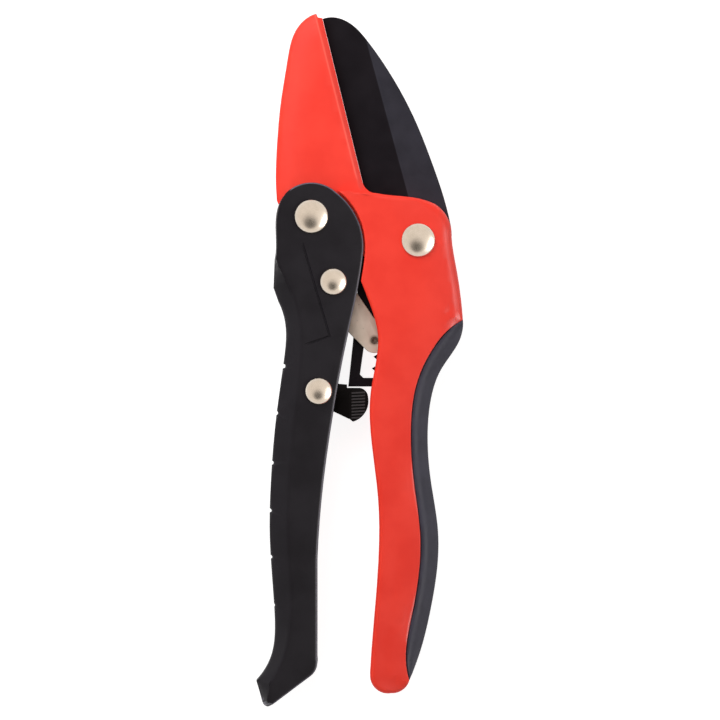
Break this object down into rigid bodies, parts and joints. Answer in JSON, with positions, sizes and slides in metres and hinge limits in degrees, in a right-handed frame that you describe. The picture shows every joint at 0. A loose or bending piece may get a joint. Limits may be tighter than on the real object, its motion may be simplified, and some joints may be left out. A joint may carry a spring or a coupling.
{
  "type": "pruning shears",
  "caption": "Ratchet anvil pruning shears: a coated blade closes on a cast anvil, driven by a pivoted handle through toothed links, with a soft grip and a thumb latch.",
  "frame": {"origin": "blade pivot's axis where it meets the plane of the back faces, on which the closed tool lies", "axes": "+Z along the pivots, towards the rivets' domes; +Y along the tool towards the blade's tip; +X towards the gripped right handle"},
  "size_m": [0.0614, 0.2056, 0.019],
  "materials": {
    "red_coat": "cast aluminium, satin red powder coat",
    "black_coat": "cast aluminium, matte black powder coat",
    "grip": "soft-touch dark grey",
    "blade_coat": "hardened steel, dark non-stick coat",
    "zinc_steel": "zinc-plated pressed steel",
    "pin_steel": "hardened, dark",
    "bright_rivet": "polished nickel",
    "latch_plastic": "moulded black",
    "spring_steel": "drawn wire",
    "bush_metal": "turned",
    "washer_plastic": "natural"
  },
  "bodies": {
    "body": {"anvil_body": "red_coat", "right_grip": "grip", "blade_rivet": "bright_rivet", "blade_rivet_cap": "bright_rivet", "blade_bush": "bush_metal", "blade_washer_front": "washer_plastic", "blade_washer_back": "washer_plastic", "handle_bush": "bush_metal", "return_spring": "spring_steel"},
    "handle": {"left_handle": "black_coat", "handle_rivet": "bright_rivet", "handle_rivet_cap": "bright_rivet", "link_rivet": "bright_rivet", "link_rivet_cap": "bright_rivet", "latch_rivet": "bright_rivet", "latch_rivet_cap": "bright_rivet", "link_washer_front": "washer_plastic", "link_washer_back": "washer_plastic", "latch_washer": "spring_steel"},
    "blade": {"blade": "blade_coat"},
    "link": {"link_plate_front": "zinc_steel", "link_plate_back": "zinc_steel", "ratchet_pin": "pin_steel", "link_spacer": "zinc_steel", "link_spring": "spring_steel"},
    "latch": {"thumb_latch": "latch_plastic"}
  },
  "joints": [
    {"name": "handle_pivot", "type": "hinge", "parent": "body", "child": "handle", "pos_m": [-0.0316, 0.007, 0.0085], "axis": [0, 0, -1], "range_deg": [0, 40], "deforming": ["return_spring"]},
    {"name": "blade_pivot", "type": "hinge", "parent": "body", "child": "blade", "pos_m": [0, 0, 0.0085], "axis": [0, 0, -1], "range_deg": [0, 21.5]},
    {"name": "link_pivot", "type": "hinge", "parent": "handle", "child": "link", "pos_m": [-0.0251, -0.0123, 0.0085], "axis": [0, 0, 1], "range_deg": [0, 35.5], "deforming": ["link_spring"]},
    {"name": "latch_pivot", "type": "hinge", "parent": "handle", "child": "latch", "pos_m": [-0.0294, -0.0447, 0.0085], "axis": [0, 0, -1], "range_deg": [0, 25]}
  ],
  "couplings": [
    {"joint": "blade_pivot", "follows": "handle_pivot", "ratio": 0.531},
    {"joint": "link_pivot", "follows": "handle_pivot", "ratio": 0.882}
  ]
}
